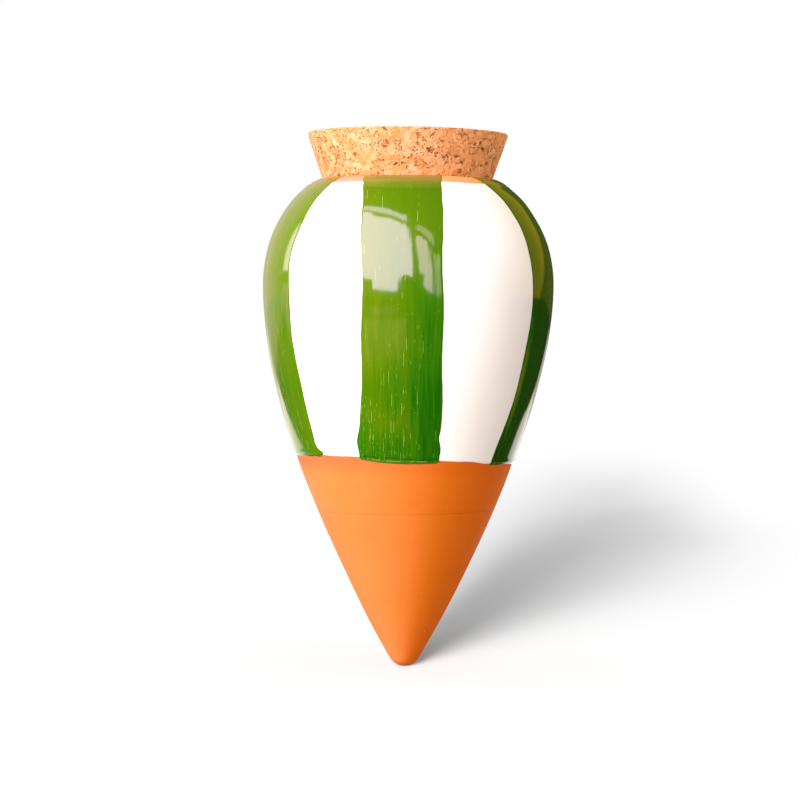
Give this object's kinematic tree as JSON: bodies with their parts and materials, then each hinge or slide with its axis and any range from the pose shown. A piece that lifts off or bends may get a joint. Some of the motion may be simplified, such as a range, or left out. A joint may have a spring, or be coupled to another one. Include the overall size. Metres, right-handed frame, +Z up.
{
  "type": "irrigation olla",
  "caption": "Pointed terracotta watering vessel, white glaze with brushed green stripes above a bare clay cone, closed by a tapered cork stopper.",
  "frame": {"origin": "the vessel's point, on its axis", "axes": "+Z up along the vessel's axis, from the point to the stopper; -Y out through the middle of the front stripe, to within 2 degrees"},
  "size_m": [0.1094, 0.1094, 0.2],
  "materials": {
    "terracotta": "matt unglazed orange clay, turned smooth",
    "white_glaze": "gloss opaque white glaze",
    "green_glaze": "gloss brushed leaf-green glaze, streaky",
    "cork": "matt agglomerated cork granules, uncoated"
  },
  "bodies": {
    "vessel": {"terracotta_vessel": "terracotta", "white_glaze": "white_glaze", "green_stripe_1": "green_glaze", "green_stripe_2": "green_glaze", "green_stripe_3": "green_glaze", "green_stripe_4": "green_glaze", "green_stripe_5": "green_glaze"},
    "stopper": {"cork_stopper": "cork"}
  },
  "joints": [
    {"name": "cork_lift", "type": "slide", "parent": "vessel", "child": "stopper", "axis": [0, 0, 1], "range_m": [0, 0.06]}
  ]
}
